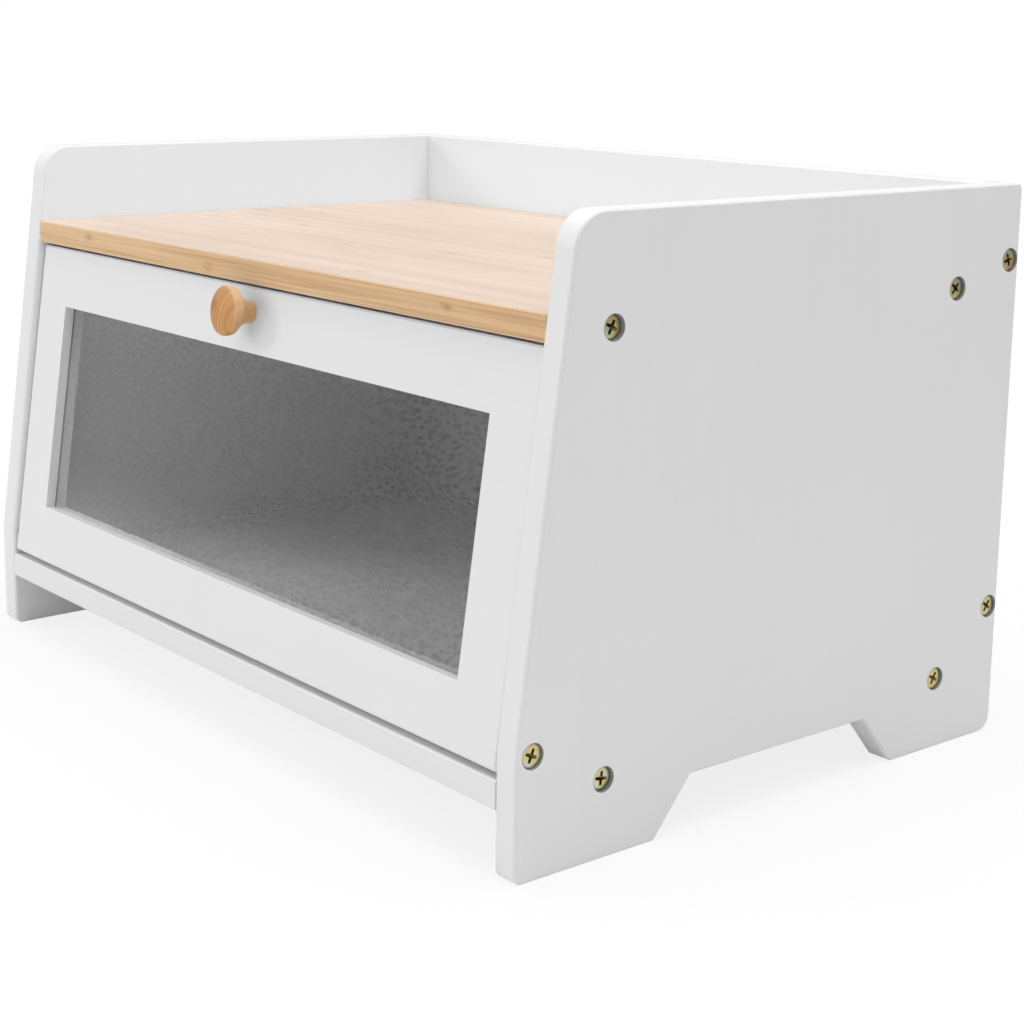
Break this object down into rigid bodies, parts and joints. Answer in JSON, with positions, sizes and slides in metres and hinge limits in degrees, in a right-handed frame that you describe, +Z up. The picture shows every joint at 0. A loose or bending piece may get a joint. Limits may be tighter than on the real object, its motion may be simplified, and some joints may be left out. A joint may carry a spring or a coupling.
{
  "type": "bread box",
  "caption": "Countertop bread box with a leaning glazed drop-down front, turned wooden knob, bamboo shelf between raised sides and back, and notched feet.",
  "frame": {"origin": "centre of the box's footprint, on the surface that it stands on", "axes": "+X to the right seen from the front, +Y to the back, +Z up; the door faces -Y"},
  "size_m": [0.43, 0.285, 0.252],
  "materials": {
    "white_paint": "satin white lacquer on fibreboard",
    "bamboo": "clear satin lacquer on laminated bamboo strips",
    "turned_wood": "satin lacquer on turned bamboo",
    "yellow_zinc": "yellow passivated zinc on steel",
    "textured_pane": "clear sheet with a pebbled obscure texture",
    "catch_plastic": "moulded white plastic",
    "ferrite": "dark sintered magnet",
    "bright_steel": "bright zinc on sheet steel"
  },
  "bodies": {
    "cabinet": {"left_side_panel": "white_paint", "right_side_panel": "white_paint", "top_shelf": "bamboo", "bottom_board": "white_paint", "back_panel": "white_paint", "shelf_screws": "yellow_zinc", "bottom_screws": "yellow_zinc", "back_screws": "yellow_zinc", "catch_housing": "catch_plastic", "catch_magnet": "ferrite", "catch_pole_plates": "bright_steel", "catch_screws": "yellow_zinc"},
    "door": {"door_left_stile": "white_paint", "door_right_stile": "white_paint", "door_top_rail": "white_paint", "door_bottom_rail": "white_paint", "window_pane": "textured_pane", "knob": "turned_wood", "knob_screw": "yellow_zinc", "pivot_screws": "yellow_zinc", "strike_plate": "bright_steel", "strike_screw": "yellow_zinc"}
  },
  "joints": [
    {"name": "door_hinge", "type": "hinge", "parent": "cabinet", "child": "door", "pos_m": [0, -0.13447, 0.05004], "axis": [1, 0, 0], "range_deg": [0, 108]}
  ]
}
